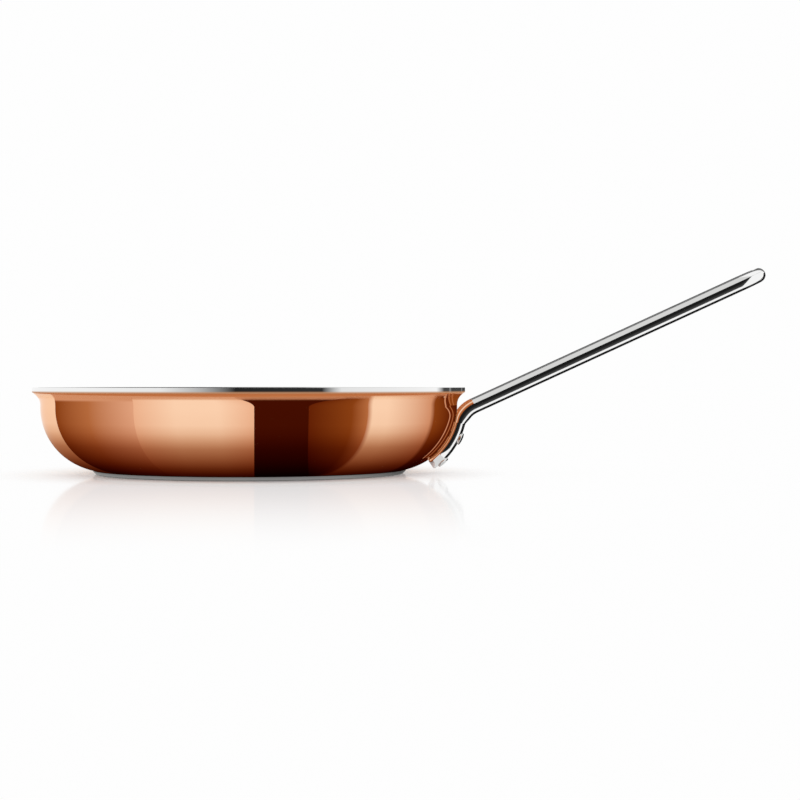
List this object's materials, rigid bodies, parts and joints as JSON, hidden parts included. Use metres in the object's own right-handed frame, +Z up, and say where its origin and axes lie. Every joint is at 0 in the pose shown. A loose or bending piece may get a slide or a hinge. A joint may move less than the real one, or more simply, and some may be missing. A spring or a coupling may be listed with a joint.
{
  "type": "frying pan",
  "caption": "Open round frying pan with a clad copper bowl, steel rim and cooking surface, magnetic base disc and a rising loop handle of bent steel rod, riveted to the wall.",
  "frame": {"origin": "centre of the base disc's underside, on the cooktop", "axes": "+Z up out of the bowl, +X from the bowl's centre towards the handle"},
  "size_m": [0.4761, 0.28, 0.1338],
  "materials": {
    "copper": "mirror-polished copper",
    "core_aluminium": "rolled sheet, hidden",
    "liner_steel": "satin stainless steel with a polished rim",
    "base_steel": "turned magnetic stainless steel",
    "handle_steel": "polished stainless steel rod",
    "rivet_steel": "polished stainless steel"
  },
  "bodies": {
    "root": {"copper_shell": "copper", "aluminium_core": "core_aluminium", "steel_liner": "liner_steel", "base_disc": "base_steel", "handle": "handle_steel", "rivet_upper_left": "rivet_steel", "rivet_upper_right": "rivet_steel", "rivet_lower_left": "rivet_steel", "rivet_lower_right": "rivet_steel"}
  },
  "joints": []
}
